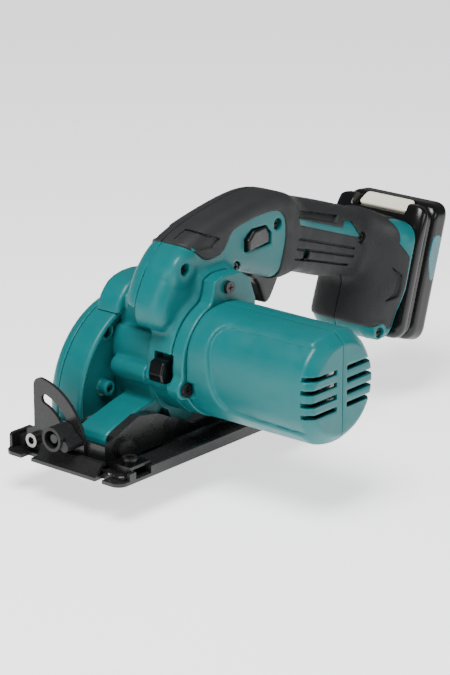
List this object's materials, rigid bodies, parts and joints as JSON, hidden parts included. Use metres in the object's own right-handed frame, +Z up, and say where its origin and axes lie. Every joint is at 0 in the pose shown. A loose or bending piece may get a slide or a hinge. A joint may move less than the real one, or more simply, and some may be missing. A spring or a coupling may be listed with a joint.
{
  "type": "circular saw",
  "caption": "Compact one-hand cordless circular saw: motor on the left, guarded blade on the right, bevelling and depth-adjusting base, slide-on battery behind the grip.",
  "frame": {"origin": "in the sole of the base, in the middle of the base's length, 44 mm from its blade-side edge", "axes": "+X forward along the cut, +Y to the left (motor side), +Z up"},
  "size_m": [0.2975, 0.165, 0.1533],
  "materials": {
    "case_teal": "moulded, fine texture",
    "soft_grip": "matt elastomer",
    "black_plastic": "moulded",
    "battery_black": "gloss",
    "button_cream": "satin",
    "cell_wrap": "shrink sleeve",
    "black_enamel": "gloss enamel on pressed steel",
    "zinc_steel": "zinc plated",
    "black_oxide": "black oxide",
    "gear_steel": "hobbed and ground",
    "blade_steel": "ground",
    "cast_alloy": "die cast",
    "copper": "enamelled copper",
    "carbon": "carbon"
  },
  "bodies": {
    "base": {"base_plate": "black_enamel", "bevel_quadrant": "black_enamel", "rear_bevel_bracket": "black_enamel", "fence_straps": "black_enamel", "base_rivets": "zinc_steel", "bevel_pivots": "zinc_steel"},
    "tilt_frame": {"tilt_bracket": "black_enamel", "depth_pivot_bolt": "zinc_steel", "bevel_clamp_stud": "zinc_steel", "depth_guide": "black_enamel", "bracket_rivets": "zinc_steel"},
    "bevel_knob": {"bevel_clamp_knob": "black_plastic"},
    "saw": {"blade_case_cover": "case_teal", "blade_case": "case_teal", "gear_housing": "case_teal", "gear_cover": "cast_alloy", "ball_bearings": "zinc_steel", "idler_bushes": "copper", "guard_retainer": "zinc_steel", "motor_can": "zinc_steel", "motor_magnets": "zinc_steel", "motor_end_bell": "black_plastic", "brush_holders": "black_plastic", "brushes": "carbon", "motor_flange": "case_teal", "motor_cover_front": "case_teal", "motor_cover_rear": "case_teal", "handle_left": "case_teal", "handle_right": "case_teal", "grip_rubber_left": "soft_grip", "grip_rubber_right": "soft_grip", "trigger_pin": "zinc_steel", "switch": "black_plastic", "return_springs": "zinc_steel", "depth_clamp_bolt": "zinc_steel", "terminal_block": "black_plastic", "casing_screws": "black_oxide", "flange_screws": "black_oxide", "guard_spring": "zinc_steel"},
    "depth_lever": {"depth_lever": "black_plastic"},
    "rotor": {"rotor_shaft": "zinc_steel", "rotor_core": "zinc_steel", "rotor_windings": "copper", "commutator": "copper", "cooling_fan": "black_plastic"},
    "idler": {"idler_gear": "gear_steel", "idler_shaft": "gear_steel"},
    "spindle": {"drive_gear": "gear_steel", "spindle": "zinc_steel", "blade_flanges": "zinc_steel", "blade_bolt": "black_oxide", "blade": "blade_steel"},
    "guard": {"lower_guard": "cast_alloy"},
    "trigger": {"trigger": "black_plastic"},
    "lock_off": {"lock_off_button": "black_plastic"},
    "shaft_lock": {"shaft_lock": "black_plastic"},
    "battery": {"battery_front": "battery_black", "battery_rear": "battery_black", "battery_cells": "cell_wrap"},
    "battery_button": {"battery_button": "button_cream"}
  },
  "joints": [
    {"name": "bevel_tilt", "type": "hinge", "parent": "base", "child": "tilt_frame", "pos_m": [0, -0.0285, 0.009], "axis": [1, 0, 0], "range_deg": [0, 45]},
    {"name": "bevel_knob_turn", "type": "hinge", "parent": "tilt_frame", "child": "bevel_knob", "pos_m": [0.08, -0.00454, 0.01772], "axis": [1, 0, 0], "range_deg": [0, 120]},
    {"name": "depth_swing", "type": "hinge", "parent": "tilt_frame", "child": "saw", "pos_m": [0.059, 0, 0.01], "axis": [0, 1, 0], "range_deg": [-4.5, 22]},
    {"name": "depth_lever_turn", "type": "hinge", "parent": "saw", "child": "depth_lever", "pos_m": [-0.05743, -0.01, 0.03903], "axis": [0, 1, 0], "range_deg": [0, 60]},
    {"name": "rotor_spin", "type": "hinge", "parent": "saw", "child": "rotor", "pos_m": [-0.003, 0.06, 0.05], "axis": [0, 1, 0], "continuous": true},
    {"name": "idler_spin", "type": "hinge", "parent": "saw", "child": "idler", "pos_m": [0.00867, 0, 0.03577], "axis": [0, 1, 0], "continuous": true},
    {"name": "spindle_spin", "type": "hinge", "parent": "saw", "child": "spindle", "pos_m": [0.002, -0.01, 0.022], "axis": [0, 1, 0], "continuous": true},
    {"name": "guard_swing", "type": "hinge", "parent": "saw", "child": "guard", "pos_m": [0.002, -0.028, 0.022], "axis": [0, 1, 0], "range_deg": [0, 155], "stiffness_Nm_per_rad": 0.015, "springref_deg": -114.59},
    {"name": "trigger_pull", "type": "hinge", "parent": "saw", "child": "trigger", "pos_m": [-0.061, 0.0075, 0.084], "axis": [0, 1, 0], "range_deg": [0, 9], "stiffness_Nm_per_rad": 0.15, "springref_deg": -22.92},
    {"name": "lock_off_press", "type": "slide", "parent": "saw", "child": "lock_off", "axis": [0, -1, 0], "range_m": [0, 0.003], "stiffness_N_per_m": 600, "springref_m": -0.002},
    {"name": "shaft_lock_press", "type": "slide", "parent": "saw", "child": "shaft_lock", "axis": [-1, 0, 0], "range_m": [0, 0.0035], "stiffness_N_per_m": 700, "springref_m": -0.002},
    {"name": "battery_slide", "type": "slide", "parent": "saw", "child": "battery", "axis": [-0.2924, 0, 0.9563], "range_m": [0, 0.07]},
    {"name": "battery_button_press", "type": "slide", "parent": "battery", "child": "battery_button", "axis": [0.0872, 0, -0.9962], "range_m": [0, 0.0025], "stiffness_N_per_m": 700, "springref_m": -0.002}
  ],
  "couplings": [
    {"joint": "idler_spin", "follows": "rotor_spin", "ratio": -0.27778},
    {"joint": "spindle_spin", "follows": "rotor_spin", "ratio": 0.11574}
  ]
}
